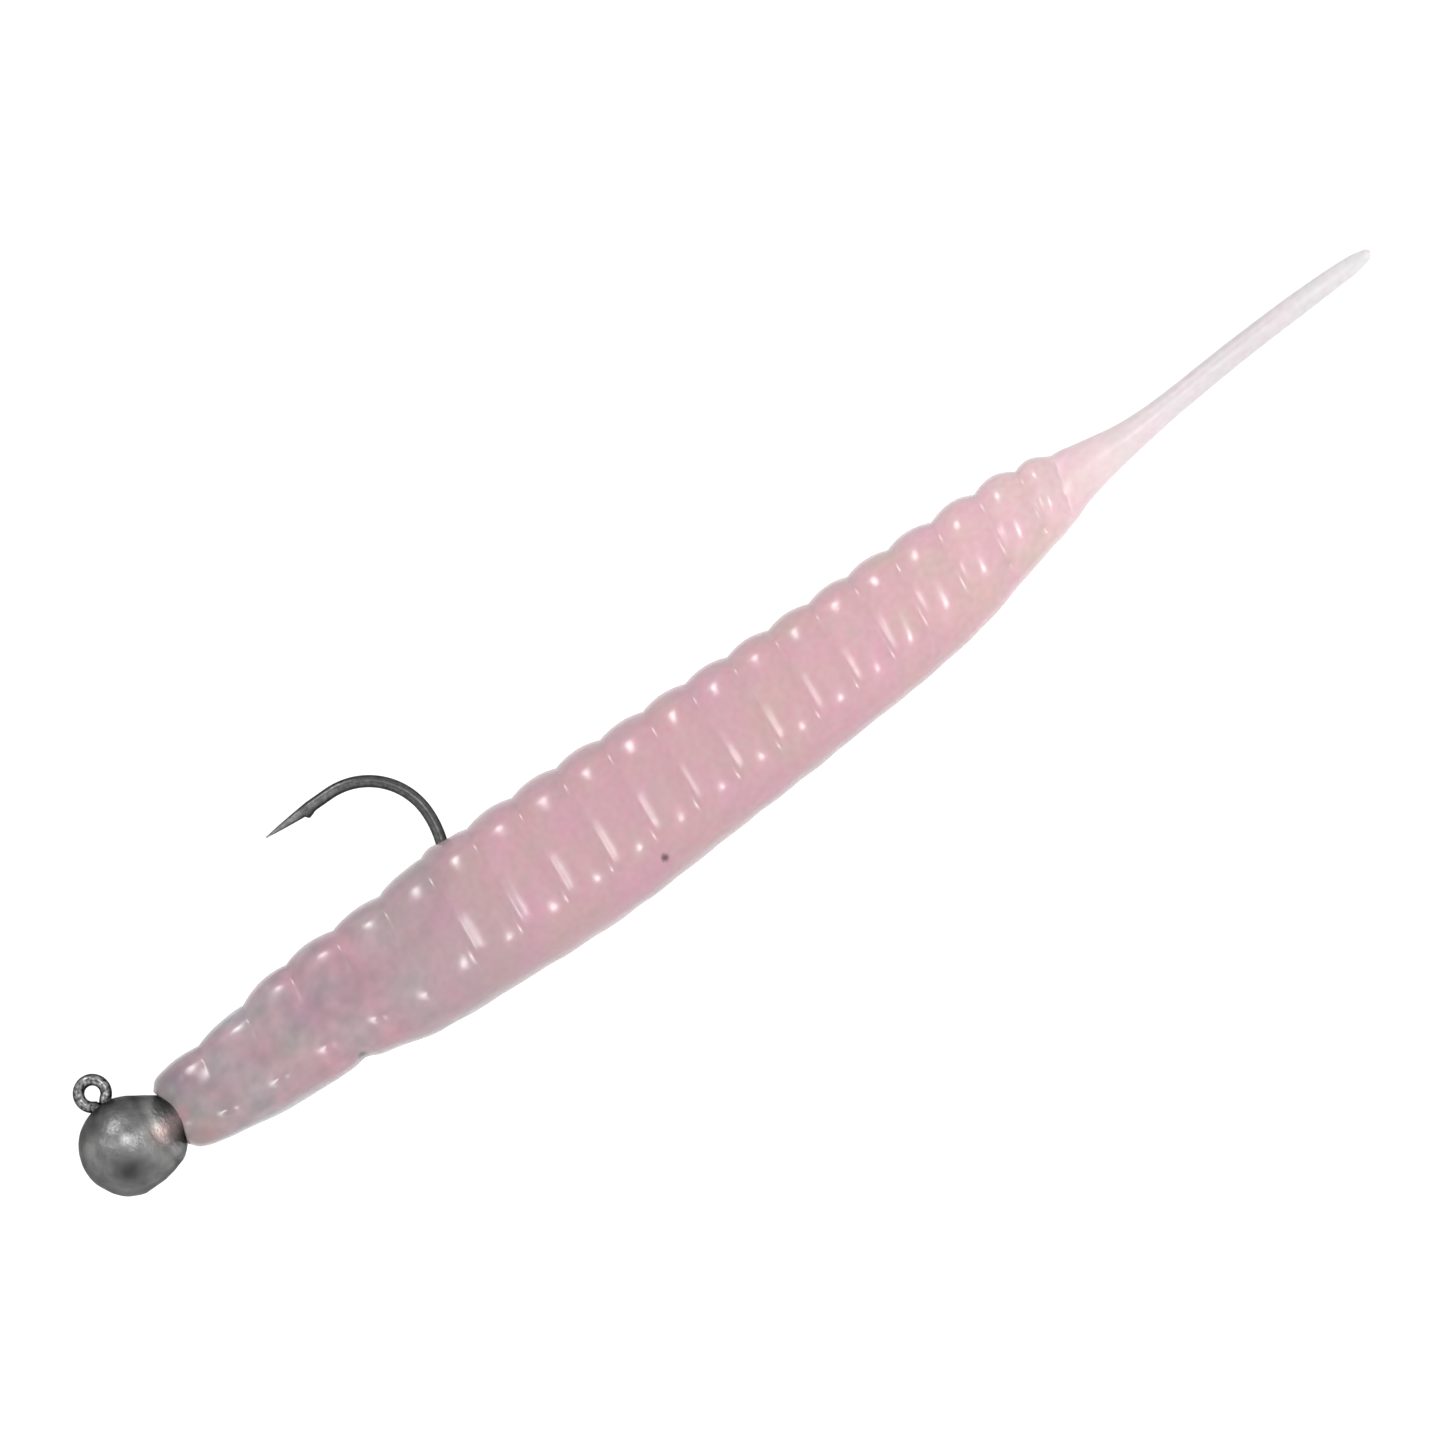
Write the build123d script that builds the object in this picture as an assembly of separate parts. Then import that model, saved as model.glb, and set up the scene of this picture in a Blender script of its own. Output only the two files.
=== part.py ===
"""Micro jig head rigged with a ringed pintail worm, in millimetres.

The frame is the one the lure swims in: +X runs from the head to the tail, +Z points to the side of the
hook point, and the hook's wire is bent in the plane Y = 0. The origin is the centre of the line eye.
"""

import math
import os

from build123d import *

# Driving dimensions
BALL_DIAMETER = 3.85
BALL_DROP = 2.42  # from the line eye down to the middle of the ball
SPRUE_CUT = 0.08  # depth of the flat left where the casting was snipped off below the ball

WIRE_DIAMETER = 0.47
EYE_OUTER_DIAMETER = 1.50
EYE_HOLE_DIAMETER = 0.60
STEM_BEND_RADIUS = 0.90
HOOK_REACH = 16.52  # from the line eye to the rearmost point of the wire's centre line
HOOK_GAPE = 6.59  # between the centre lines of the shank and the point leg
UPPER_BEND_RADIUS = 2.68
POINT_LENGTH = 2.00
POINT_SETBACK = 10.97  # from the line eye back to the tip of the point
POINT_TIP_RADIUS = 0.02
BARB_HEIGHT = 0.09
BARB_SETBACK = 1.76  # from the tip of the point back to the crest of the barb
BARB_LENGTH = 0.55
BARB_THICKNESS = 0.18

NECK_ANGLE = 55.0  # from the axis to the circle where the neck's cone leaves the ball, degrees
COLLAR_DIAMETER = 1.50
COLLAR_LENGTH = 3.10
KEEPER_DIAMETER = 2.20
KEEPER_LENGTH = 1.10

WORM_NOSE = 1.95  # from the line eye back to the worm's front face
WORM_END = 57.97
FIRST_GROOVE = 4.20
RING_COUNT = 20
FIRST_PITCH = 2.24
LAST_PITCH = 1.64
GROOVE_DEPTH = 0.13
BELLY_GROOVE_DEPTH = 0.05
WORM_WIDTH_RATIO = 0.94
WIRE_CLEARANCE = 0.02

BODY_FLEX_X = 23.50
BODY_FLEX_Z = -2.90
BODY_FLEX_LIMIT = 40.0
BODY_HUB_RADIUS = 1.60
TAIL_FLEX_X = 47.00
TAIL_FLEX_LIMIT = 60.0
TAIL_HUB_RADIUS = 0.36
HUB_CLEARANCE = 0.10
FLEX_MARGIN = 4.0  # degrees by which each notch is wider than the joint's travel

# Outline of the worm over its ring crests: distance back, height of the back, height of the belly
OUTLINE = (
    (1.95, -1.20, -3.80),
    (2.25, -0.91, -4.00),
    (3.00, -0.78, -4.26),
    (5.60, -0.55, -4.74),
    (8.00, -0.12, -4.96),
    (10.00, 0.00, -5.20),
    (12.20, 0.02, -5.68),
    (16.00, 0.22, -5.90),
    (20.30, 0.20, -6.10),
    (26.10, 0.02, -5.83),
    (32.00, -0.17, -5.50),
    (37.40, -0.25, -4.96),
    (41.10, -0.38, -4.08),
    (42.70, -0.62, -3.70),
    (43.90, -0.99, -3.30),
    (46.50, -1.42, -2.78),
    (48.80, -1.45, -2.46),
    (51.80, -1.33, -2.19),
    (55.00, -1.25, -2.05),
    (57.20, -1.32, -1.97),
    (57.80, -1.44, -1.84),
)

ball_radius = BALL_DIAMETER / 2
wire_radius = WIRE_DIAMETER / 2
eye_ring_radius = (EYE_OUTER_DIAMETER - WIRE_DIAMETER) / 2
shank_z = -BALL_DROP
point_z = shank_z + HOOK_GAPE
upper_bend_z = point_z - UPPER_BEND_RADIUS
lower_bend_radius = upper_bend_z - shank_z
point_base_x = POINT_SETBACK + POINT_LENGTH


def outline_height(x, column):
    """Height of the back (column 1) or belly (column 2) at x, by a smooth cubic through the outline."""
    last = len(OUTLINE) - 2
    i = 0
    while i < last and OUTLINE[i + 1][0] < x:
        i += 1
    knots = [OUTLINE[max(0, min(j, last + 1))] for j in (i - 1, i, i + 1, i + 2)]
    (x0, y0), (x1, y1), (x2, y2), (x3, y3) = [(k[0], k[column]) for k in knots]
    slope_1 = (y2 - y0) / (x2 - x0)
    slope_2 = (y3 - y1) / (x3 - x1)
    span = x2 - x1
    t = (x - x1) / span
    rise = y1 * (2 * t**3 - 3 * t**2 + 1) + y2 * (3 * t**2 - 2 * t**3)
    return rise + span * (slope_1 * (t**3 - 2 * t**2 + t) + slope_2 * (t**3 - t**2))


def groove_positions():
    """Distances of the ring grooves, whose pitch shrinks evenly towards the tail."""
    shrink = (FIRST_PITCH - LAST_PITCH) / (RING_COUNT - 1)
    grooves = [FIRST_GROOVE]
    for ring in range(RING_COUNT):
        grooves.append(grooves[-1] + FIRST_PITCH - shrink * ring)
    return grooves


def worm_section(x, inset=0.0, belly_inset=0.0):
    """Elliptical cross-section of the worm at x, drawn in by the insets where it is a groove."""
    back = outline_height(x, 1) - inset
    belly = outline_height(x, 2) + belly_inset
    half_height = (back - belly) / 2
    half_width = WORM_WIDTH_RATIO * half_height - inset / 2
    middle = Plane(origin=(x, 0, (back + belly) / 2), x_dir=(0, 1, 0), z_dir=(1, 0, 0))
    return middle * Ellipse(half_width, half_height)


def worm_barrel(start, end):
    """One ring of the worm: groove, crest, groove."""
    sections = [
        worm_section(start, GROOVE_DEPTH, BELLY_GROOVE_DEPTH),
        worm_section((start + end) / 2),
        worm_section(end, GROOVE_DEPTH, BELLY_GROOVE_DEPTH),
    ]
    return loft(sections)


def worm_nose(first_groove):
    """Rounded front lobe, from the face against the ball to the first groove."""
    sections = [worm_section(x) for x in (WORM_NOSE, 2.25, 3.00)]
    sections.append(worm_section(first_groove, GROOVE_DEPTH, BELLY_GROOVE_DEPTH))
    return loft(sections)


def worm_pintail(last_groove):
    """Smooth tail, drawn out thin and closed to a rounded tip."""
    sections = [worm_section(last_groove, GROOVE_DEPTH, BELLY_GROOVE_DEPTH)]
    sections += [worm_section(row[0]) for row in OUTLINE if row[0] > last_groove + 0.5]
    tip_z = (OUTLINE[-1][1] + OUTLINE[-1][2]) / 2
    sections.append(Vertex(WORM_END, 0, tip_z))
    return loft(sections)


def whole_worm():
    grooves = groove_positions()
    worm = worm_nose(grooves[0])
    for start, end in zip(grooves, grooves[1:]):
        worm += worm_barrel(start, end)
    return worm + worm_pintail(grooves[-1])


def hook_wire(radius):
    """Stem, shank, bend and point leg as one tube of the given radius along the wire's centre line."""
    stem_end = shank_z + STEM_BEND_RADIUS
    upper_bend_x = HOOK_REACH - UPPER_BEND_RADIUS
    lower_bend_x = HOOK_REACH - lower_bend_radius
    rear = (HOOK_REACH, 0, upper_bend_z)
    bend_diagonal = math.sqrt(0.5)
    stem = Line((0, 0, -eye_ring_radius), (0, 0, stem_end))
    stem_bend = ThreePointArc(
        stem @ 1,
        (STEM_BEND_RADIUS * (1 - bend_diagonal), 0, stem_end - STEM_BEND_RADIUS * bend_diagonal),
        (STEM_BEND_RADIUS, 0, shank_z),
    )
    shank = Line(stem_bend @ 1, (lower_bend_x, 0, shank_z))
    lower_bend = ThreePointArc(
        shank @ 1,
        (
            lower_bend_x + lower_bend_radius * bend_diagonal,
            0,
            upper_bend_z - lower_bend_radius * bend_diagonal,
        ),
        rear,
    )
    upper_bend = ThreePointArc(
        rear,
        (
            upper_bend_x + UPPER_BEND_RADIUS * bend_diagonal,
            0,
            upper_bend_z + UPPER_BEND_RADIUS * bend_diagonal,
        ),
        (upper_bend_x, 0, point_z),
    )
    point_leg = Line(upper_bend @ 1, (point_base_x, 0, point_z))
    path = Wire([stem, stem_bend, shank, lower_bend, upper_bend, point_leg])
    section = Plane(origin=stem @ 0, z_dir=(0, 0, -1)) * Circle(radius)
    return sweep(section, path=path)


def line_eye():
    """Ring of the wire with its hole reamed to a short cylindrical land."""
    ring = Rot(90, 0, 0) * Torus(eye_ring_radius, wire_radius)
    hole = Rot(90, 0, 0) * Cylinder(EYE_HOLE_DIAMETER / 2, 2 * WIRE_DIAMETER)
    return ring - hole


def hook_point():
    """Needle point: full wire at its base, curving in to a fine tip."""
    tip_x = point_base_x - POINT_LENGTH
    middle = (point_base_x - 0.62 * POINT_LENGTH, 0, 0.60 * wire_radius)
    flank = Spline(
        (point_base_x, 0, wire_radius),
        middle,
        (tip_x, 0, POINT_TIP_RADIUS),
        tangents=[(-1, 0, 0), (-POINT_LENGTH, 0, -1.8 * wire_radius)],
    )
    outline = [
        flank,
        Line((tip_x, 0, POINT_TIP_RADIUS), (tip_x, 0, 0)),
        Line((tip_x, 0, 0), (point_base_x, 0, 0)),
        Line((point_base_x, 0, 0), (point_base_x, 0, wire_radius)),
    ]
    return Pos(0, 0, point_z) * revolve(make_face(outline), Axis.X)


def hook_barb():
    """Small barb under the point, rising gently from the bend's side and cut off steeply in front."""
    under = point_z - wire_radius
    crest = POINT_SETBACK + BARB_SETBACK
    back = crest + BARB_LENGTH
    front = crest - 0.12
    outline = Polyline(
        (back, 0, under + wire_radius / 2),
        (back, 0, under),
        (crest, 0, under - BARB_HEIGHT),
        (front, 0, under),
        (front, 0, under + wire_radius / 2),
        close=True,
    )
    return extrude(make_face(outline), amount=BARB_THICKNESS / 2, dir=(0, 1, 0), both=True)


def hook():
    return hook_wire(wire_radius) + line_eye() + hook_point() + hook_barb()


def neck_and_keeper(clearance=0.0):
    """Cone off the back of the ball, then a collar with one barbed ring that holds the worm."""
    neck_angle = math.radians(NECK_ANGLE)
    neck_x = ball_radius * math.cos(neck_angle)
    neck_radius = ball_radius * math.sin(neck_angle)
    neck_end = neck_x + (neck_radius - COLLAR_DIAMETER / 2) * math.tan(neck_angle)
    collar_radius = COLLAR_DIAMETER / 2 + clearance
    keeper_radius = KEEPER_DIAMETER / 2 + clearance
    collar_end = ball_radius + COLLAR_LENGTH + clearance
    keeper_front = collar_end - KEEPER_LENGTH - 2 * clearance
    outline = Polyline(
        (neck_x, 0, 0),
        (neck_x, 0, neck_radius + clearance),
        (neck_end, 0, collar_radius),
        (keeper_front, 0, collar_radius),
        (keeper_front, 0, keeper_radius),
        (collar_end, 0, collar_radius),
        (collar_end, 0, 0),
        close=True,
    )
    return Pos(0, 0, shank_z) * revolve(make_face(outline), Axis.X)


def lead_head():
    """Ball, neck, collar and keeper in one casting around the hook's wire."""
    ball = Pos(0, 0, shank_z) * Sphere(ball_radius)
    sprue = Pos(0, 0, shank_z - ball_radius + SPRUE_CUT) * Box(
        BALL_DIAMETER, BALL_DIAMETER, BALL_DIAMETER, align=(Align.CENTER, Align.CENTER, Align.MAX)
    )
    return ball - sprue + neck_and_keeper() - hook()


def hub(radius, reach):
    """Round knuckle along Y about which a flexing segment turns."""
    return Rot(90, 0, 0) * Cylinder(radius, 2 * reach)


def vees(half_angle, reach):
    """V-shaped spaces above and below the knuckle, as wide as the flexing needs."""
    lean = reach * math.tan(math.radians(half_angle))
    above, below = [
        make_face(Polyline((0, 0, 0), (lean, 0, side), (-lean, 0, side), close=True))
        for side in (reach, -reach)
    ]
    direction = (0, 1, 0)
    upper = extrude(above, amount=reach, dir=direction, both=True)
    return upper + extrude(below, amount=reach, dir=direction, both=True)


def slab(start, end, reach):
    """Box from start to end along X that holds the worm's whole section."""
    return Pos(start, 0, BODY_FLEX_Z) * Box(
        end - start, 2 * reach, 2 * reach, align=(Align.MIN, Align.CENTER, Align.CENTER)
    )


def worm_segments():
    """The worm in three parts: impaled front, ringed rear and pintail, notched where it flexes."""
    worm = whole_worm()
    reach = 4.0
    tail_flex_z = (outline_height(TAIL_FLEX_X, 1) + outline_height(TAIL_FLEX_X, 2)) / 2
    body_flex = Pos(BODY_FLEX_X, 0, BODY_FLEX_Z)
    tail_flex = Pos(TAIL_FLEX_X, 0, tail_flex_z) * Rot(90, 0, 0)
    body_vees = body_flex * vees((BODY_FLEX_LIMIT + FLEX_MARGIN) / 2, reach)
    tail_vees = tail_flex * vees((TAIL_FLEX_LIMIT + FLEX_MARGIN) / 2, reach)

    front = worm & slab(0, BODY_FLEX_X, reach)
    front -= body_vees
    front -= body_flex * hub(BODY_HUB_RADIUS + HUB_CLEARANCE, reach)
    front -= Pos(0, 0, shank_z) * Sphere(ball_radius + WIRE_CLEARANCE)
    front -= neck_and_keeper(WIRE_CLEARANCE)
    front -= hook_wire(wire_radius + WIRE_CLEARANCE)

    rear = worm & slab(BODY_FLEX_X, TAIL_FLEX_X, reach)
    rear -= body_vees
    rear += worm & (body_flex * hub(BODY_HUB_RADIUS, reach))
    rear -= tail_vees
    rear -= tail_flex * hub(TAIL_HUB_RADIUS + HUB_CLEARANCE, reach)

    pintail = worm & slab(TAIL_FLEX_X, WORM_END + 1, reach)
    pintail -= tail_vees
    pintail += worm & (tail_flex * hub(TAIL_HUB_RADIUS, reach))
    return front, rear, pintail


def main():
    os.makedirs("parts", exist_ok=True)
    front, rear, pintail = worm_segments()
    nodes = {
        "lead_head": lead_head(),
        "hook": hook(),
        "worm_front": front,
        "worm_rear": rear,
        "worm_pintail": pintail,
    }
    for name, shape in nodes.items():
        export_step(shape, f"parts/{name}.step")
        print(name, round(shape.volume, 3), shape.bounding_box())


if __name__ == "__main__":
    main()
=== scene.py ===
"""Looks of the rigged jig head: cast lead ball, dark hook wire and a milky pink ringed worm."""

import math

import bpy
import numpy as np
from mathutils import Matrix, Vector, noise


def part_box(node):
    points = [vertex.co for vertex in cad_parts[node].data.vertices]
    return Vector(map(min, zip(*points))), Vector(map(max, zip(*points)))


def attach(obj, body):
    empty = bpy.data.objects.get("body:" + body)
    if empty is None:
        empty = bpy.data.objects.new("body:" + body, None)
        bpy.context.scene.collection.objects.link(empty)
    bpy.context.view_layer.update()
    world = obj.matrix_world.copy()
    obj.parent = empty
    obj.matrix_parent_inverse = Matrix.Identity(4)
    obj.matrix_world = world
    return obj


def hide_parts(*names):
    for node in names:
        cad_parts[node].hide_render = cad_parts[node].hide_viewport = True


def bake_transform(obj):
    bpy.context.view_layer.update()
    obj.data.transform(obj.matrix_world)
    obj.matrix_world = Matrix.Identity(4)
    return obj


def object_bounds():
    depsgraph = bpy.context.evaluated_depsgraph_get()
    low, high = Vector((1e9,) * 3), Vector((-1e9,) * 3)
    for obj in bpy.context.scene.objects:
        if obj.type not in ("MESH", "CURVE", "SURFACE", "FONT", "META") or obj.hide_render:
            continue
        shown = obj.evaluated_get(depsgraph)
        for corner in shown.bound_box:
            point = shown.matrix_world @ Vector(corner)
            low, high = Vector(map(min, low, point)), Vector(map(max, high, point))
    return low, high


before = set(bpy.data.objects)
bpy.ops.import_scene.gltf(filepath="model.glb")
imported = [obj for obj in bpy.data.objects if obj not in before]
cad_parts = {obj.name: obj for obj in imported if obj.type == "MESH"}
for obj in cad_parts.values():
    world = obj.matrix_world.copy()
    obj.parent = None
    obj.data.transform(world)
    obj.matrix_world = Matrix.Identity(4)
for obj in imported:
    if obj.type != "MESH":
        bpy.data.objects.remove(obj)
cad_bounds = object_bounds()

MM = 0.001

# Places taken from the frame, millimetres
lead_low, lead_high = (Vector(corner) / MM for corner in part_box("lead_head"))
hook_low, hook_high = (Vector(corner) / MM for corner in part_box("hook"))
nose_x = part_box("worm_front")[0][0] / MM
tip_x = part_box("worm_pintail")[1][0] / MM
ball_radius = (lead_high.y - lead_low.y) / 2
sprue_z = lead_low.z
collar_end = lead_high.x
wire_radius = (hook_high.y - hook_low.y) / 2
shank_z = hook_low.z + wire_radius
point_z = hook_high.z - wire_radius
hook_rear_x = hook_high.x - wire_radius
eye_radius = -hook_low.x

# Hook wire and casting, millimetres
EYE_HOLE_RADIUS = 0.30
STEM_BEND_RADIUS = 0.90
UPPER_BEND_RADIUS = 2.68
POINT_TIP_X = 10.97
POINT_LENGTH = 2.00
BARB_CREST_X = 12.73
BARB_FRONT_LENGTH = 0.12
BARB_LENGTH = 0.40
BARB_HEIGHT = 0.12
NECK_ANGLE = 55.0
COLLAR_RADIUS = 0.75
KEEPER_RADIUS = 1.10
KEEPER_LENGTH = 1.10
CASTING_AROUND = 160
WIRE_AROUND = 32
eye_wire_radius = (eye_radius - EYE_HOLE_RADIUS) / 2
upper_bend_z = point_z - UPPER_BEND_RADIUS
lower_bend_radius = upper_bend_z - shank_z
lower_bend_x = hook_rear_x - lower_bend_radius

# Ringed worm, millimetres: distance back, height of the back and of the belly over the ring crests
OUTLINE = np.array(
    (
        (1.95, -1.24, -3.66),
        (2.25, -0.91, -4.00),
        (3.00, -0.78, -4.26),
        (5.60, -0.55, -4.74),
        (8.00, -0.12, -4.90),
        (10.00, 0.00, -5.10),
        (12.20, 0.02, -5.62),
        (16.00, 0.22, -5.90),
        (20.30, 0.20, -6.10),
        (26.10, 0.02, -5.83),
        (32.00, -0.17, -5.50),
        (37.40, -0.25, -4.96),
        (41.10, -0.38, -4.08),
        (42.70, -0.62, -3.70),
        (43.90, -1.03, -3.28),
        (45.20, -1.31, -3.00),
        (46.60, -1.52, -2.78),
        (48.30, -1.54, -2.56),
        (51.80, -1.34, -2.27),
        (55.00, -1.25, -2.12),
        (57.20, -1.31, -2.00),
        (57.80, -1.44, -1.86),
    )
)
# Cross-section: angle from the back in degrees, share of the half width reached there. The first and
# the last row mirror their neighbours, to keep the curve smooth at the back and the belly.
SECTION = np.array(
    (
        (-14, -0.27),
        (0, 0.0),
        (14, 0.27),
        (32, 0.53),
        (53, 0.70),
        (72, 0.803),
        (81, 0.852),
        (90, 0.892),
        (98, 0.922),
        (107, 0.953),
        (112, 0.965),
        (117, 0.970),
        (122, 0.965),
        (130, 0.940),
        (139, 0.880),
        (148, 0.785),
        (158, 0.620),
        (169, 0.360),
        (180, 0.0),
        (191, -0.360),
    )
)
FIRST_GROOVE = 4.20
RING_COUNT = 20
FIRST_PITCH = 2.24
LAST_PITCH = 1.64
WIDTH_RATIO = 0.94
BLUNT_NOSE_X = 3.2
NOSE_EXTRA_WIDTH = 0.16
NOSE_HOLLOW = 0.45
# Cosine of the angle low on the flank where the rings before the hook, faint elsewhere, still dip
LOW_DIP = -0.44
# Past the last groove each of the two skins runs on under the other: distance, scale
LAP = ((0.12, 0.996), (0.25, 0.982), (0.36, 0.945), (0.42, 0.86), (0.45, 0.6))
# Points round the section of the ringed body and of the tail
BODY_AROUND = 160
TAIL_AROUND = 96


# ---------------------------------------------------------------- small tools


def smooth_step(low, high, value):
    t = np.clip((value - low) / (high - low), 0.0, 1.0)
    return t * t * (3 - 2 * t)


def bell(value, middle, width):
    return np.exp(-(((value - middle) / width) ** 2))


def mix(a, b, t):
    return a + (b - a) * t


def clouds(points, size, seed):
    """Smooth noise of about -1 to 1 at each point; the size is that of its lumps in millimetres."""
    flat = points.reshape(-1, 3) / size + seed * 7.31
    values = [noise.noise(Vector(point)) for point in flat]
    return np.array(values).reshape(points.shape[:-1])


def grid_piece(name, grid, colours):
    """Closed mesh from a grid of points (station, angle, xyz) in millimetres, capped at both ends.

    The base colour and the rest position are stored on it, so that both stay put when it bends.
    """
    count, around = grid.shape[:2]
    index = np.arange(count * around).reshape(count, around)
    after = np.roll(index, -1, axis=1)
    faces = np.stack((index[:-1], after[:-1], after[1:], index[1:]), axis=-1).reshape(-1, 4).tolist()
    faces.append(index[0][::-1].tolist())
    faces.append(index[-1].tolist())
    points = grid.reshape(-1, 3)
    mesh = bpy.data.meshes.new(name)
    mesh.from_pydata((points * MM).tolist(), [], faces)
    first = mesh.polygons[0]
    middle = Vector(points[:around].mean(axis=0)) * MM
    if first.normal.dot(first.center - middle) < 0:
        mesh.flip_normals()
    mesh.polygons.foreach_set("use_smooth", [True] * len(mesh.polygons))
    rest = mesh.attributes.new("rest", "FLOAT_VECTOR", "POINT")
    rest.data.foreach_set("vector", points.ravel())
    tint = mesh.color_attributes.new("tint", "FLOAT_COLOR", "POINT")
    rgba = np.ones((count * around, 4))
    rgba[:, :3] = colours.reshape(-1, 3)
    tint.data.foreach_set("color", rgba.ravel())
    mesh.update()
    piece = bpy.data.objects.new(name, mesh)
    bpy.context.scene.collection.objects.link(piece)
    return piece


# ---------------------------------------------------------------- worm shape


def smooth_curve(table, column, x):
    """Value of the column at x, by a smooth cubic through the rows of the table."""
    knots, values = table[:, 0], table[:, column]
    i = np.clip(np.searchsorted(knots, x, side="right") - 1, 0, len(table) - 2)
    before = np.maximum(i - 1, 0)
    after = np.minimum(i + 2, len(table) - 1)
    x1, x2, y1, y2 = knots[i], knots[i + 1], values[i], values[i + 1]
    slope_1 = (y2 - values[before]) / (x2 - knots[before])
    slope_2 = (values[after] - y1) / (knots[after] - x1)
    span = x2 - x1
    t = np.clip((x - x1) / span, -1.0, 1.5)
    rise = y1 * (2 * t**3 - 3 * t**2 + 1) + y2 * (3 * t**2 - 2 * t**3)
    return rise + span * (slope_1 * (t**3 - 2 * t**2 + t) + slope_2 * (t**3 - t**2))


def back_and_belly(x):
    return smooth_curve(OUTLINE, 1, x), smooth_curve(OUTLINE, 2, x)


def groove_positions():
    """Distances of the ring grooves, whose pitch shrinks evenly towards the tail."""
    shrink = (FIRST_PITCH - LAST_PITCH) / (RING_COUNT - 1)
    grooves = [FIRST_GROOVE]
    for ring in range(RING_COUNT):
        grooves.append(grooves[-1] + FIRST_PITCH - shrink * ring)
    return grooves


GROOVES = groove_positions()


def groove_shift(x, c, half_height):
    """How far back a ring's skin lies from its groove plane: the rings lean, most by the tail."""
    behind_rings = smooth_step(48, 44, x)
    at_back = 0.07 + 0.50 * smooth_step(35, 43.5, x) * behind_rings
    lean = 0.07 + (0.08 * smooth_step(33, 38, x) + 0.20 * smooth_step(41, 43.5, x)) * behind_rings
    return half_height * (at_back + lean * (c - 1))


def ring_relief(x, c):
    """How far the skin lies under the outline at x and at the cosine c of the angle, millimetres."""
    # The nose and the tail count as one more ring each, whose relief fades out
    edges = np.array([FIRST_GROOVE - FIRST_PITCH] + GROOVES + [GROOVES[-1] + 60])
    i = np.clip(np.searchsorted(edges, x, side="right") - 1, 0, len(edges) - 2)
    pitch = edges[i + 1] - edges[i]
    u = np.clip((x - edges[i]) / pitch, 0.0, 1.0)
    from_crest = abs(2 * u - 1)
    tail_side = smooth_step(34, 42, x)
    top = smooth_step(0.45, 0.90, c)
    below = smooth_step(-0.56, -0.86, c)
    depth_top = 0.17 + 0.09 * tail_side
    depth_flank = 0.23 + 0.12 * tail_side
    faint = smooth_step(15.8, 13.0, x)
    top = mix(top, smooth_step(0.15, 0.60, c), faint)
    depth_flank = mix(depth_flank, 0.04 + 0.16 * bell(c, LOW_DIP, 0.14), faint)
    depth = mix(mix(depth_flank, depth_top, top), 0.03, below)
    depth = depth * smooth_step(1.9, 3.2, x) * smooth_step(43.6, 42.2, x)
    rounding = 5 * (1 - top) * np.maximum(from_crest - 0.8, 0) ** 2
    return depth * (from_crest**2 - rounding)


def section_width(angle, x):
    """Share of the half width at each angle: a flat-flanked bullet that turns round by the tail."""
    turn = np.degrees(np.minimum(angle, 2 * math.pi - angle))
    bullet = smooth_curve(SECTION, 1, turn)
    roundness = 0.35 * smooth_step(31, 39, x) + 0.65 * smooth_step(41, 46, x)
    share = mix(bullet, np.sin(np.radians(turn)), roundness)
    return share * np.where(np.sin(angle) < 0, -1, 1)


def lumps_and_dents(points, x, y, c):
    """How far small lumps and local marks sink the skin, millimetres; swellings are negative."""
    front = smooth_step(14, 5, x)
    either_end = smooth_step(15, 12, x) + smooth_step(42, 46, x)
    lumps = (0.015 + 0.013 * front) * clouds(points, 1.1, 1) * smooth_step(46, 40, x)
    fine_lumps = 0.006 * clouds(points, 0.5, 9) * either_end
    broad_lumps = 0.035 * clouds(points, 2.6, 2) * smooth_step(48, 42, x)
    # Plastic pushed up where the wire comes out of the back, and the dimple round the wire
    swelling = 0.14 * bell(x, 15.6, 0.75) * bell(y, 0, 1.0) * (c > 0)
    dimple = 0.10 * bell(x, hook_rear_x - 0.1, 0.42) * bell(y, 0, 0.42) * (c > 0)
    nose_notch = 0.17 * bell(x, 9.3, 0.40) * smooth_step(-0.55, -0.85, c)
    return dimple + nose_notch - lumps - fine_lumps - broad_lumps - swelling


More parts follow.
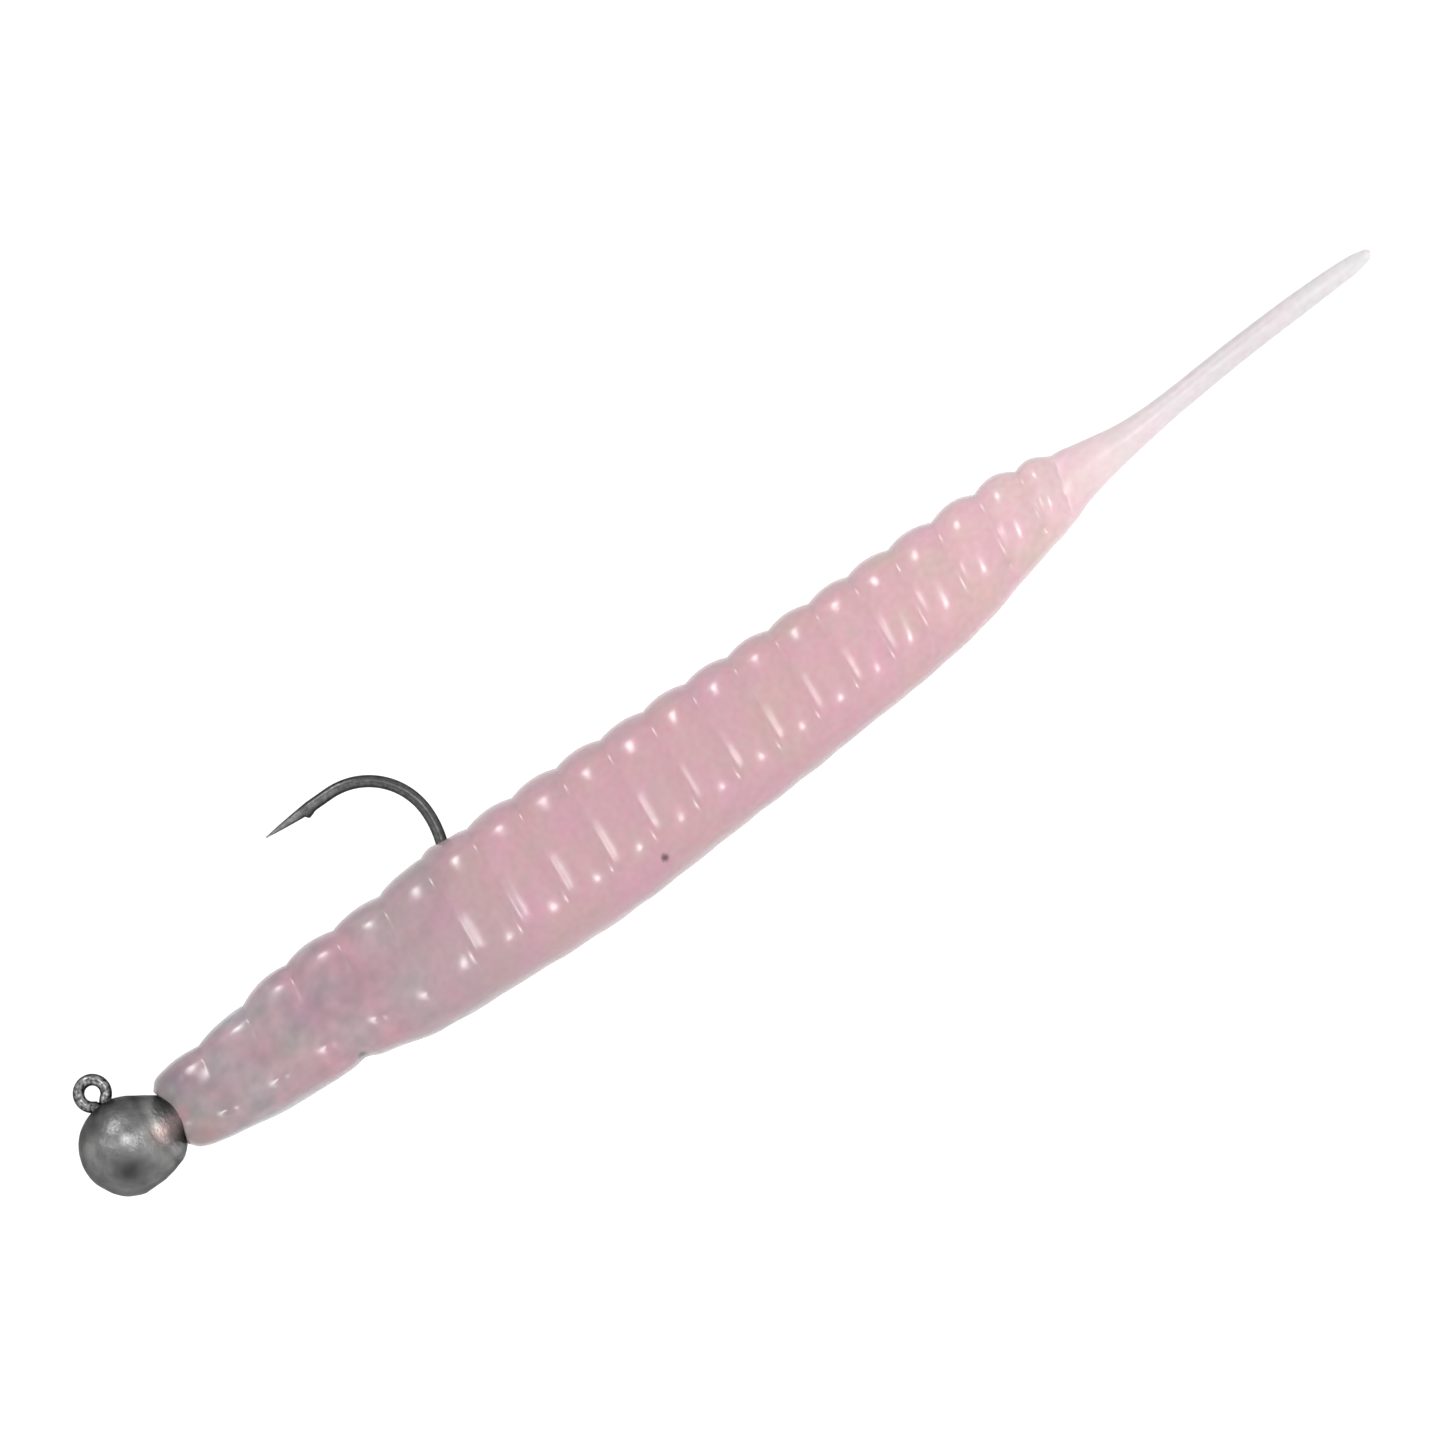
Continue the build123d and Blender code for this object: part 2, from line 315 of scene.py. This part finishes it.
def worm_grid(stations, around):
    """Points of the worm's skin and the cosine of each point's angle round the section.

    Each station is (distance back, scale of the section, shift along X).
    """
    base_x, scale, push = (column[:, None] for column in np.array(stations).T)
    angle = np.linspace(0, 2 * math.pi, around, endpoint=False)[None, :]
    c, s = np.cos(angle), np.sin(angle)
    x = base_x + 0 * c
    # The lean depends on the height at the place it leads to, so it is found in two rounds
    for _ in range(2):
        back, belly = back_and_belly(x)
        x = base_x + groove_shift(base_x, c, (back - belly) / 2)
    x = mix(base_x, x, smooth_step(2.0, 3.5, base_x))
    back, belly = back_and_belly(x)
    half_height = (back - belly) / 2
    middle = (back + belly) / 2
    wide_back, wide_belly = back_and_belly(np.maximum(x, BLUNT_NOSE_X))
    width_ratio = WIDTH_RATIO + NOSE_EXTRA_WIDTH * smooth_step(9, 2, x)
    y = width_ratio * (wide_back - wide_belly) / 2 * section_width(angle, x)
    z = half_height * c
    points = np.stack((x, y, middle + z), axis=-1)
    around_y = np.roll(y, -1, axis=1) - np.roll(y, 1, axis=1)
    around_z = np.roll(z, -1, axis=1) - np.roll(z, 1, axis=1)
    outward = np.stack((0 * x, -around_z, around_y), axis=-1)
    outward /= np.linalg.norm(outward, axis=-1, keepdims=True)
    relief = ring_relief(base_x + 0 * x, c + 0 * x) + lumps_and_dents(points, x, y, c)
    relief = np.minimum(relief, 0.5 * half_height)
    points -= outward * relief[..., None]
    points[..., 0] += NOSE_HOLLOW * s**2 * smooth_step(3.8, 2.0, base_x)
    points[..., 1] *= scale
    points[..., 2] = middle + (points[..., 2] - middle) * scale
    points[..., 0] += push
    return points, c + 0 * x


# ---------------------------------------------------------------- colour of the worm

# Base colour, linear, at distances back in millimetres
SKIN = np.array(
    (
        (2.0, 0.219, 0.179, 0.180),
        (4.5, 0.305, 0.239, 0.260),
        (9.0, 0.342, 0.236, 0.262),
        (14.5, 0.360, 0.244, 0.270),
        (18.0, 0.433, 0.266, 0.293),
        (25.0, 0.457, 0.279, 0.308),
        (31.0, 0.483, 0.295, 0.321),
        (36.0, 0.521, 0.325, 0.350),
        (40.0, 0.561, 0.370, 0.388),
        (43.0, 0.586, 0.419, 0.435),
        (45.0, 0.604, 0.482, 0.497),
        (48.0, 0.550, 0.497, 0.516),
        (52.0, 0.518, 0.478, 0.498),
        (58.0, 0.550, 0.527, 0.541),
    )
)
# Cloudy changes of the colour behind the hook and in front of it: broad ones, then patches
BODY_DRIFT, FRONT_DRIFT = np.array(((-0.03, 0.05, -0.07), (-0.18, 0.10, 0.04)))
BODY_PATCH, FRONT_PATCH = np.array(((0.06, -0.02, 0.02), (0.21, 0.15, 0.17)))
# Small dark flecks in the plastic on the near side: X, Z, radius in millimetres
FLECKS = (
    (9.33, -4.76, 0.22),
    (22.95, -5.10, 0.15),
)
FLECK_COLOUR = np.array((0.045, 0.025, 0.030))
# Stains from the nose to the hook, and painted shade in the gap between the nose and the casting: X,
# Z, size, change of each colour
STAINS_AND_GAP_SHADE = (
    (2.50, -2.60, 0.35, (0.22, -0.14, -0.08)),
    (3.00, -3.60, 0.50, (0.22, -0.02, -0.05)),
    (3.10, -1.45, 0.60, (-0.16, -0.22, -0.12)),
    # Painted shade in the gap between the nose rim and the casting
    (2.15, -1.90, 0.35, (-0.38, -0.24, -0.30)),
    (8.60, -1.90, 0.80, (-0.06, -0.12, -0.04)),
    (10.40, -2.20, 1.20, (0.00, -0.13, -0.07)),
    (12.10, -0.90, 0.50, (-0.05, 0.06, 0.03)),
    (15.00, -0.55, 0.55, (-0.16, -0.02, -0.08)),
    (7.40, -3.10, 0.90, (-0.02, 0.06, -0.02)),
)


def wire_distance(points):
    """Distance in the plane Y = 0 from the hook's wire inside the worm."""
    x, z = points[..., 0], points[..., 2]
    shank = np.hypot(np.maximum(x - lower_bend_x, 0), z - shank_z)
    shank = np.where(x < lower_bend_x, abs(z - shank_z), shank)
    bend = abs(np.hypot(x - lower_bend_x, z - upper_bend_z) - lower_bend_radius)
    bend = np.where((x > lower_bend_x) & (z < upper_bend_z), bend, 99.0)
    return np.minimum(np.where(x < lower_bend_x, shank, 99.0), bend)


def changed(colours, share, change):
    """The colours with the change, a part of each channel, at the share of it that each point has."""
    return colours * (1 + share[..., None] * np.array(change))


def skin_colours(points, c):
    """Milky pink, darker over the wire, with painted shade greying the back and darkening the
    underside and the gap at the nose, paler towards the thin tail.
    """
    x = points[..., 0]
    colours = np.stack([np.interp(x, SKIN[:, 0], SKIN[:, k]) for k in (1, 2, 3)], axis=-1)
    body = smooth_step(47, 40, x)
    # Painted shade along the back: the skin greyer towards the top edge
    painted_back_shade = smooth_step(0.76, 0.99, c) * body
    colours = changed(colours, painted_back_shade, (-0.10, 0.03, 0.03))
    shade = bell(wire_distance(points), 0, 0.45) * smooth_step(2.5, 5, x)
    colours = changed(colours, shade, (-0.06, -0.08, -0.07))
    front = smooth_step(16, 10, x)[..., None]
    drift = clouds(points, 1.5, 3) * body
    colours = changed(colours, drift, mix(BODY_DRIFT, FRONT_DRIFT, front))
    patch = clouds(points, 0.5, 4) * body
    colours = changed(colours, patch, mix(BODY_PATCH, FRONT_PATCH, front))
    colours = changed(colours, clouds(points, 0.24, 8), (0.05, 0.08, 0.07))
    pale = smooth_step(0.5, -0.9, c) * smooth_step(40, 45, x)
    colours *= 0.95 + 0.14 * pale[..., None]
    # Stains, and the painted shade in the gap at the nose
    for mark_x, mark_z, size, change in STAINS_AND_GAP_SHADE:
        away = np.hypot(x - mark_x, points[..., 2] - mark_z)
        colours = changed(colours, bell(away, 0, size), change)
    # Painted shade along the underside of the belly, darker towards its lowest line
    painted_belly_shade = smooth_step(-0.86, -0.99, c) * smooth_step(41, 29, x)
    colours = changed(colours, painted_belly_shade, (-0.28, -0.24, -0.26))
    for fleck_x, fleck_z, radius in FLECKS:
        away = np.hypot(x - fleck_x, points[..., 2] - fleck_z) + 9.0 * (points[..., 1] > 0)
        fleck = smooth_step(1.25 * radius, 0.6 * radius, away)[..., None]
        colours = mix(colours, FLECK_COLOUR, 0.85 * fleck)
    return np.clip(colours, 0.0, 0.95)


# ---------------------------------------------------------------- materials


def new_material(name):
    material = bpy.data.materials.new(name)
    material.use_nodes = True
    tree = material.node_tree
    return material, tree.nodes, tree.links, tree.nodes["Principled BSDF"]


def rest_noise(nodes, links, scale, detail):
    """Noise over the rest position in millimetres, so that it stays on the surface when it bends."""
    rest = nodes.new("ShaderNodeAttribute")
    rest.attribute_name = "rest"
    texture = nodes.new("ShaderNodeTexNoise")
    texture.inputs["Scale"].default_value = scale
    texture.inputs["Detail"].default_value = detail
    links.new(rest.outputs["Vector"], texture.inputs["Vector"])
    return texture.outputs["Fac"]


def ramp(nodes, links, factor, low, high):
    """Colour ramp between (position, colour) pairs."""
    node = nodes.new("ShaderNodeValToRGB")
    for element, (position, colour) in zip(node.color_ramp.elements, (low, high)):
        element.position = position
        element.color = (*colour, 1)
    links.new(factor, node.inputs["Fac"])
    return node.outputs["Color"]


def tinted(nodes, links, modulation):
    """The painted tint times a modulation colour."""
    tint = nodes.new("ShaderNodeAttribute")
    tint.attribute_name = "tint"
    blend = nodes.new("ShaderNodeMix")
    blend.data_type = "RGBA"
    blend.blend_type = "MULTIPLY"
    blend.inputs["Factor"].default_value = 1.0
    links.new(tint.outputs["Color"], blend.inputs["A"])
    links.new(modulation, blend.inputs["B"])
    return blend.outputs["Result"]


def set_roughness(nodes, links, shader, factor, smoothest, roughest):
    rough = ramp(nodes, links, factor, (0.3, (smoothest,) * 3), (0.7, (roughest,) * 3))
    links.new(rough, shader.inputs["Roughness"])


def add_bump(nodes, links, shader, height, strength, distance):
    bump = nodes.new("ShaderNodeBump")
    bump.inputs["Strength"].default_value = strength
    bump.inputs["Distance"].default_value = distance
    links.new(height, bump.inputs["Height"])
    links.new(bump.outputs["Normal"], shader.inputs["Normal"])


def soft_plastic(name, smoothest, roughest):
    """Milky translucent PVC with a satin skin."""
    material, nodes, links, shader = new_material(name)
    cloud = rest_noise(nodes, links, 0.8, 4.0)
    milk = ramp(nodes, links, cloud, (0.35, (0.95, 0.99, 0.96)), (0.65, (1.0, 0.965, 0.985)))
    links.new(tinted(nodes, links, milk), shader.inputs["Base Color"])
    gloss = rest_noise(nodes, links, 2.0, 3.0)
    set_roughness(nodes, links, shader, gloss, smoothest, roughest)
    shader.inputs["IOR"].default_value = 1.50
    shader.inputs["Subsurface Weight"].default_value = 0.6
    shader.inputs["Subsurface Radius"].default_value = (1.0, 0.8, 0.8)
    shader.inputs["Subsurface Scale"].default_value = 0.00035
    grain = rest_noise(nodes, links, 5.0, 3.0)
    add_bump(nodes, links, shader, grain, 0.15, 0.00001)
    return material


def cast_lead():
    """Dull grey casting with lighter and darker patches and a fine cast grain."""
    material, nodes, links, shader = new_material("cast_lead")
    patches = rest_noise(nodes, links, 1.3, 5.0)
    stain = ramp(nodes, links, patches, (0.36, (0.72, 0.72, 0.73)), (0.66, (1.15, 1.15, 1.13)))
    links.new(tinted(nodes, links, stain), shader.inputs["Base Color"])
    shader.inputs["Metallic"].default_value = 1.0
    shader.inputs["Specular Tint"].default_value = (0.35, 0.35, 0.35, 1)
    gloss = rest_noise(nodes, links, 3.0, 4.0)
    set_roughness(nodes, links, shader, gloss, 0.33, 0.43)
    grain = rest_noise(nodes, links, 7.0, 4.0)
    add_bump(nodes, links, shader, grain, 0.5, 0.00006)
    return material


def hook_steel():
    """Black-nickel hook wire with fine drawing streaks."""
    material, nodes, links, shader = new_material("hook_steel")
    streak = rest_noise(nodes, links, 6.0, 3.0)
    shine = ramp(nodes, links, streak, (0.35, (0.75, 0.75, 0.75)), (0.65, (1.2, 1.2, 1.18)))
    links.new(tinted(nodes, links, shine), shader.inputs["Base Color"])
    shader.inputs["Metallic"].default_value = 1.0
    shader.inputs["Specular Tint"].default_value = (0.25, 0.25, 0.25, 1)
    shader.inputs["Roughness"].default_value = 0.36
    add_bump(nodes, links, shader, streak, 0.3, 0.00002)
    return material


def pale_floor():
    material, nodes, links, shader = new_material("pale_floor")
    shader.inputs["Base Color"].default_value = (0.93, 0.93, 0.93, 1)
    shader.inputs["Roughness"].default_value = 0.9
    shader.inputs["Specular IOR Level"].default_value = 0.0
    shader.inputs["Emission Color"].default_value = (1, 1, 1, 1)
    shader.inputs["Emission Strength"].default_value = 0.22
    return material


# ---------------------------------------------------------------- worm pieces


# How much lighter the colour is painted at the last groove, where the two skins keep some light
# from each other, and how far from it, millimetres
LAP_LIFT = 0.20
LAP_LIFT_REACH = 0.09


def lifted(colours, stations):
    """The colours, lighter at the stations by the last groove."""
    lift = LAP_LIFT * bell(np.array(stations)[:, 0], GROOVES[-1], LAP_LIFT_REACH)
    return colours * (1 + lift)[:, None, None]


def even(start, end, step):
    return np.linspace(start, end, max(2, round((end - start) / step)) + 1)


def ringed_body(material):
    """Nose, rings and belly in one skin."""
    end = GROOVES[-1]
    stations = [(nose_x, scale, 0.25 * (1 - scale)) for scale in (0.25, 0.50, 0.75, 0.90, 0.97)]
    stations += [(x, 1.0, 0.0) for x in even(nose_x, end, 0.08)]
    stations += [(end + ahead, scale, 0.0) for ahead, scale in LAP]
    grid, c = worm_grid(stations, BODY_AROUND)
    piece = grid_piece("ringed_body", grid, lifted(skin_colours(grid, c), stations))
    piece.data.materials.append(material)
    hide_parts("worm_front", "worm_rear")
    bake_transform(piece)


def pintail(material):
    """Smooth tail from the last ring to its rounded tip."""
    start = GROOVES[-1]
    # Length of the rounded tip, millimetres
    round_end = 0.28
    stations = [(start - behind, scale, 0.0) for behind, scale in reversed(LAP)]
    stations += [(x, 1.0, 0.0) for x in even(start, tip_x - round_end, 0.10)]
    for turn in np.linspace(0, math.pi / 2, 9)[1:]:
        stations.append((tip_x - round_end, max(0.05, math.cos(turn)), round_end * math.sin(turn)))
    grid, c = worm_grid(stations, TAIL_AROUND)
    piece = grid_piece("pintail", grid, lifted(skin_colours(grid, c), stations))
    piece.data.materials.append(material)
    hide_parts("worm_pintail")
    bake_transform(piece)


# ---------------------------------------------------------------- head and hook


def arc(centre, radius, start, end, count):
    """Points in the plane Y = 0 along an arc, angles in degrees from +X towards +Z."""
    turns = np.radians(np.linspace(start, end, count))
    return [(centre[0] + radius * math.cos(t), centre[1] + radius * math.sin(t)) for t in turns]


def hook_path():
    """Centre line of the wire in (x, z): loop, stem in the casting, shank, bend and point."""
    loop_radius = eye_radius - eye_wire_radius
    # The loop, with its cut end and its stem going down into the casting
    points = [(0.28, -0.68), (0.25, -0.57)]
    points += arc((0, 0), loop_radius, -64, 244, 64)
    points += [(-0.19, -0.56), (-0.10, -0.70), (-0.03, -0.87), (0.0, -1.05)]
    stem_end = shank_z + STEM_BEND_RADIUS
    points += arc((STEM_BEND_RADIUS, stem_end), STEM_BEND_RADIUS, 180, 270, 12)
    shank = even(STEM_BEND_RADIUS, lower_bend_x, 0.4)[1:-1]
    points += [(x, shank_z) for x in shank]
    points += arc((lower_bend_x, upper_bend_z), lower_bend_radius, -90, 0, 60)
    upper_bend_x = hook_rear_x - UPPER_BEND_RADIUS
    points += arc((upper_bend_x, upper_bend_z), UPPER_BEND_RADIUS, 0, 90, 60)[1:]
    leg = even(POINT_TIP_X, upper_bend_x, 0.04)[-2::-1]
    points += [(x, point_z) for x in leg]
    return np.array(points)


def hook_wire(material):
    """One length of wire, bent to the eye and the hook, ground to a point with a small barb."""
    path = hook_path()
    along = np.gradient(path, axis=0)
    along /= np.linalg.norm(along, axis=1, keepdims=True)
    side = np.stack((-along[:, 1], along[:, 0]), axis=1)
    x, z = path[:, 0], path[:, 1]
    on_leg = z > point_z - 0.01
    in_eye = (z > -0.45) & (x < 1)
    radius = np.where(in_eye, eye_wire_radius, wire_radius)
    from_tip = np.maximum(x - POINT_TIP_X, 0) / POINT_LENGTH
    radius = np.where(on_leg, wire_radius * np.clip(from_tip, 0.06, 1.0) ** 0.7, radius)
    angle = np.linspace(0, 2 * math.pi, WIRE_AROUND, endpoint=False)
    inward = np.cos(angle)[None, :]
    behind = smooth_step(BARB_CREST_X + BARB_LENGTH, BARB_CREST_X, x)
    ahead = smooth_step(BARB_CREST_X - BARB_FRONT_LENGTH, BARB_CREST_X, x)
    barb = np.where(on_leg, BARB_HEIGHT * behind * ahead, 0)[:, None] * smooth_step(0.75, 0.97, inward)
    reach = radius[:, None] + barb
    grid = np.zeros((len(path), WIRE_AROUND, 3))
    grid[..., 0] = x[:, None] + side[:, None, 0] * reach * inward
    grid[..., 1] = radius[:, None] * np.sin(angle)[None, :]
    grid[..., 2] = z[:, None] + side[:, None, 1] * reach * inward
    # Darker towards the edges of the side view and down the middle where it runs upright, both painted
    # shade; lighter where it is ground
    colours = np.full(grid.shape, 0.110) * (1 - 0.62 * inward**4)[..., None]
    # Fine speckle along the wire; on the eye it is much stronger and the eye lighter, as painted
    # reflections
    speckle = clouds(grid, 0.10, 7)
    colours *= 1 + mix(0.25, 1.8, in_eye[:, None] * 1.0)[..., None] * speckle[..., None]
    colours *= 1 + 0.5 * in_eye[:, None, None]
    upright = np.sqrt(abs(along[:, 1]))[:, None] * bell(inward, 0, 0.5) * ~in_eye[:, None]
    colours *= 1 - 0.5 * upright[..., None]
    ground = smooth_step(BARB_CREST_X, BARB_CREST_X - 0.4, x) * on_leg
    colours *= 1 + 0.6 * ground[:, None, None]
    colours = np.maximum(colours, 0.02)
    piece = grid_piece("hook_wire", grid, colours)
    piece.data.materials.append(material)
    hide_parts("hook")
    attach(piece, "rigged_jig")


def casting_profile():
    """Half outline of the casting as (x, radius): ball, neck cone, collar, keeper ring and end."""
    neck_angle = math.radians(NECK_ANGLE)
    profile = []
    for turn in np.linspace(math.pi * 0.985, neck_angle, 110):
        profile.append((ball_radius * math.cos(turn), ball_radius * math.sin(turn)))
    neck_x, neck_radius = profile[-1]
    neck_end = neck_x + (neck_radius - COLLAR_RADIUS) * math.tan(neck_angle)
    keeper_front = collar_end - KEEPER_LENGTH
    corners = [
        (neck_end, COLLAR_RADIUS),
        (keeper_front, COLLAR_RADIUS),
        (keeper_front + 0.04, KEEPER_RADIUS),
        (collar_end, COLLAR_RADIUS),
        (collar_end, 0.1),
    ]
    for corner in corners:
        start = profile[-1]
        for t in np.linspace(0, 1, 9)[1:]:
            profile.append((mix(start[0], corner[0], t), mix(start[1], corner[1], t)))
    return np.array(profile)


# Painted reflections on the casting about its centre, a dark patch, highlights, lighter patches and
# the warm reflection of the worm: place, size, change of each colour
LEAD_PAINTED_REFLECTIONS = (
    ((-0.36, -1.70, -0.80), 0.85, (-0.78, -0.78, -0.77)),
    ((0.20, -1.89, 0.30), 0.22, (1.30, 1.30, 1.28)),
    ((-0.57, -1.69, 0.72), 0.17, (0.70, 0.70, 0.70)),
    ((0.60, -1.76, -0.50), 0.34, (0.55, 0.56, 0.52)),
    ((0.86, -1.70, 0.05), 0.32, (0.42, 0.42, 0.40)),
    ((1.42, -1.31, -0.35), 0.40, (1.10, 0.72, 0.60)),
)


def cast_head(material):
    """Lead ball with the slight dents of a casting and the flat where it was snipped off."""
    profile = casting_profile()
    angle = np.linspace(0, 2 * math.pi, CASTING_AROUND, endpoint=False)[None, :]
    x, radius = profile[:, :1], profile[:, 1:]
    grid = np.stack((x + 0 * angle, radius * np.sin(angle), radius * np.cos(angle)), axis=-1)
    distance = np.linalg.norm(grid, axis=-1, keepdims=True)
    on_ball = smooth_step(1.6, 1.1, grid[..., 0])[..., None]
    dents = 0.035 * clouds(grid, 1.3, 5) + 0.012 * clouds(grid, 0.35, 6) - 0.02
    grid *= 1 + on_ball * np.minimum(dents, 0.0)[..., None] / np.maximum(distance, 0.3)
    # The underside of the cone is fuller than a plain cone
    fuller = 0.26 * bell(grid[..., 0], 1.50, 0.60) * smooth_step(0.45, 0.95, -np.cos(angle))
    across = np.linalg.norm(grid[..., 1:], axis=-1)
    grid[..., 1:] *= 1 + (fuller * smooth_step(0.5, 1.0, across) / np.maximum(across, 0.5))[..., None]
    grid[..., 2] = np.maximum(grid[..., 2], sprue_z - shank_z)
    colours = np.full(grid.shape, 0.20)
    # Painted reflections and highlights
    for place, size, change in LEAD_PAINTED_REFLECTIONS:
        away = np.linalg.norm(grid - np.array(place), axis=-1)
        colours = changed(colours, bell(away, 0, size), change)
    # Painted shade: darker towards the top, under the eye
    colours *= 1 - 0.30 * smooth_step(0.7, 1.5, grid[..., 2])[..., None]
    # Painted light: lighter over the cone, most about its middle height
    painted_cone_light = 0.1 + 1.35 * bell(grid[..., 2], -0.2, 0.5)
    colours *= 1 + (1.5 * painted_cone_light * smooth_step(1.05, 1.40, grid[..., 0]))[..., None]
    # Painted shade in the crease where the ball meets the cone
    colours *= 1 - 0.38 * bell(grid[..., 0], 1.22, 0.15)[..., None]
    grid[..., 2] += shank_z
    piece = grid_piece("cast_head", grid, colours)
    piece.data.materials.append(material)
    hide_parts("lead_head")
    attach(piece, "rigged_jig")


# ---------------------------------------------------------------- stage


# Metres: drop from the lure to the floor, flat radius, radius of the curve, height of the wall
FLOOR_DROP, FLAT, RISE, WALL = 0.030, 0.7, 0.6, 0.6
BOWL_AROUND = 96
WORLD_STRENGTH = 0.74
LIGHT_DISTANCE = 0.5
# Lights: name, direction from the lure, width and height in metres, radiance
LIGHTS = (
    ("key", (-0.56, -0.74, 0.34), 0.045, 0.07, 29),
    ("front", (0.24, -0.95, 0.06), 0.068, 0.068, 42),
    ("overhead", (0.0, -0.52, 0.85), 0.07, 0.08, 35),
)
# Camera: degrees of roll, lens in millimetres, width of the view and its middle in metres
CAMERA_ROLL = 35.0
CAMERA_LENS = 180.0
FRAME_WIDTH = 0.05477
AIM = Vector((0.02763, 0, -0.00218))


def bowl():
    """Seamless floor that rises into a wall all round, open at the top."""
    floor_z = cad_bounds[0].z - FLOOR_DROP
    profile = [(0.002, floor_z), (FLAT * 0.5, floor_z), (FLAT, floor_z)]
    for turn in np.linspace(0, math.pi / 2, 17)[1:]:
        profile.append((FLAT + RISE * math.sin(turn), floor_z + RISE * (1 - math.cos(turn))))
    profile.append((FLAT + RISE, floor_z + RISE + WALL))
    turns = np.linspace(0, 2 * math.pi, BOWL_AROUND, endpoint=False)
    rows = [[(r * math.cos(t), r * math.sin(t), z) for t in turns] for r, z in profile]
    points = [point for row in rows for point in row]
    faces = [list(range(BOWL_AROUND))]
    for row in range(len(rows) - 1):
        for k in range(BOWL_AROUND):
            a = row * BOWL_AROUND + k
            b = row * BOWL_AROUND + (k + 1) % BOWL_AROUND
            faces.append([b, a, a + BOWL_AROUND, b + BOWL_AROUND])
    mesh = bpy.data.meshes.new("floor")
    mesh.from_pydata(points, [], faces)
    mesh.polygons.foreach_set("use_smooth", [True] * len(faces))
    floor = bpy.data.objects.new("floor", mesh)
    floor.location.x = (cad_bounds[0].x + cad_bounds[1].x) / 2
    bpy.context.scene.collection.objects.link(floor)
    floor.data.materials.append(pale_floor())


def area_light(name, direction, width, height, radiance):
    """Soft rectangular light along the direction from the lure, facing it."""
    data = bpy.data.lights.new(name, "AREA")
    data.shape = "RECTANGLE"
    data.size = width
    data.size_y = height
    data.energy = radiance * math.pi * width * height
    lamp = bpy.data.objects.new(name, data)
    target = (cad_bounds[0] + cad_bounds[1]) / 2
    lamp.location = target + Vector(direction).normalized() * LIGHT_DISTANCE
    lamp.rotation_euler = (target - lamp.location).to_track_quat("-Z", "Y").to_euler()
    bpy.context.scene.collection.objects.link(lamp)


def studio_light():
    world = bpy.data.worlds.new("studio")
    world.use_nodes = True
    background = world.node_tree.nodes["Background"]
    background.inputs["Color"].default_value = (1, 1, 1, 1)
    background.inputs["Strength"].default_value = WORLD_STRENGTH
    bpy.context.scene.world = world
    for light in LIGHTS:
        area_light(*light)
    bpy.context.scene.view_settings.view_transform = "Standard"


def camera():
    """Square side view, rolled so that the lure rises from lower left to upper right."""
    data = bpy.data.cameras.new("camera")
    data.lens = CAMERA_LENS
    data.sensor_width = 36.0
    distance = FRAME_WIDTH * data.lens / data.sensor_width
    view = bpy.data.objects.new("camera", data)
    view.location = AIM + Vector((0, -distance, 0))
    view.rotation_mode = "XYZ"
    view.rotation_euler = (math.radians(90), math.radians(CAMERA_ROLL), 0)
    data.clip_start = 0.01
    data.clip_end = 10
    bpy.context.scene.collection.objects.link(view)
    bpy.context.scene.camera = view


camera()
studio_light()
bowl()
ringed_body(soft_plastic("soft_plastic", 0.22, 0.265))
pintail(soft_plastic("soft_plastic_tail", 0.32, 0.44))
hook_wire(hook_steel())
cast_head(cast_lead())
